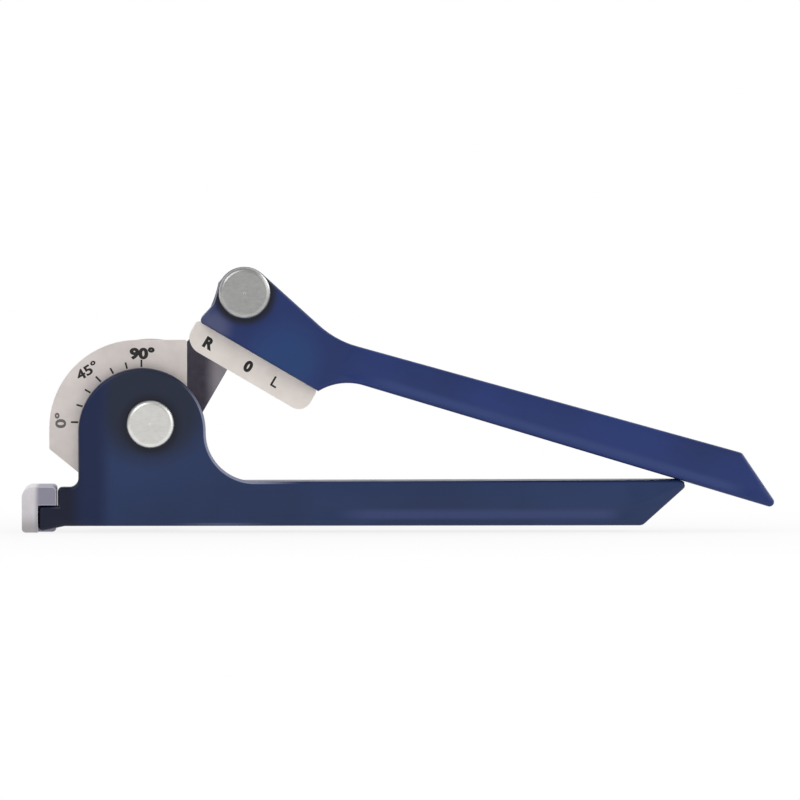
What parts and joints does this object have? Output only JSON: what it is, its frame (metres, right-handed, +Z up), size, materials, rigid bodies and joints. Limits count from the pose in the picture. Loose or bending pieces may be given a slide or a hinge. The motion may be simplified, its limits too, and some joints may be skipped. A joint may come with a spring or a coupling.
{
  "type": "lever tube bender",
  "caption": "Hand lever tube bender with a grooved round former, degree scale, tube hook and a linked second handle that carries the grooved forming shoe.",
  "frame": {"origin": "on the lower handle's flat underside, below the main pivot, in the middle of the handle's depth", "axes": "+X along the lower handle towards its tip, +Y from the scale's side to the link's side, +Z up"},
  "size_m": [0.2549, 0.0581, 0.0899],
  "materials": {
    "lower_handle": "glossy navy enamel",
    "scale_plate": "satin, tumbled",
    "former": "satin, tumbled",
    "tube_hook": "satin, tumbled",
    "hook_screw": "black oxide",
    "former_screw_1": "black oxide",
    "former_screw_2": "black oxide",
    "dowel_pin_1": "ground",
    "dowel_pin_2": "ground",
    "main_pin": "turned and zinc plated",
    "main_washer_inner": "zinc plated",
    "main_washer_outer": "zinc plated",
    "main_clip": "spring steel, oiled black",
    "link_plate": "phosphated",
    "link_bush_main": "sintered bronze",
    "link_bush_upper": "sintered bronze",
    "upper_handle": "glossy navy enamel",
    "forming_shoe": "satin, tumbled",
    "shoe_screw_1": "black oxide",
    "shoe_screw_2": "black oxide",
    "upper_pin": "turned and zinc plated",
    "upper_washer_inner": "zinc plated",
    "upper_washer_outer": "zinc plated",
    "upper_clip": "spring steel, oiled black"
  },
  "bodies": {
    "base": {"lower_handle": "lower_handle", "scale_plate": "scale_plate", "former": "former", "tube_hook": "tube_hook", "hook_screw": "hook_screw", "former_screw_1": "former_screw_1", "former_screw_2": "former_screw_2", "dowel_pin_1": "dowel_pin_1", "dowel_pin_2": "dowel_pin_2", "main_pin": "main_pin", "main_washer_inner": "main_washer_inner", "main_washer_outer": "main_washer_outer", "main_clip": "main_clip"},
    "link": {"link_plate": "link_plate", "link_bush_main": "link_bush_main", "link_bush_upper": "link_bush_upper"},
    "handle": {"upper_handle": "upper_handle", "forming_shoe": "forming_shoe", "shoe_screw_1": "shoe_screw_1", "shoe_screw_2": "shoe_screw_2", "upper_pin": "upper_pin", "upper_washer_inner": "upper_washer_inner", "upper_washer_outer": "upper_washer_outer", "upper_clip": "upper_clip"}
  },
  "joints": [
    {"name": "link_pivot", "type": "hinge", "parent": "base", "child": "link", "pos_m": [0, 0, 0.0345], "axis": [0, 1, 0], "range_deg": [-125.7, 0]},
    {"name": "handle_pivot", "type": "hinge", "parent": "link", "child": "handle", "pos_m": [0.0318, 0, 0.07876], "axis": [0, 1, 0], "range_deg": [-75, 0]}
  ]
}
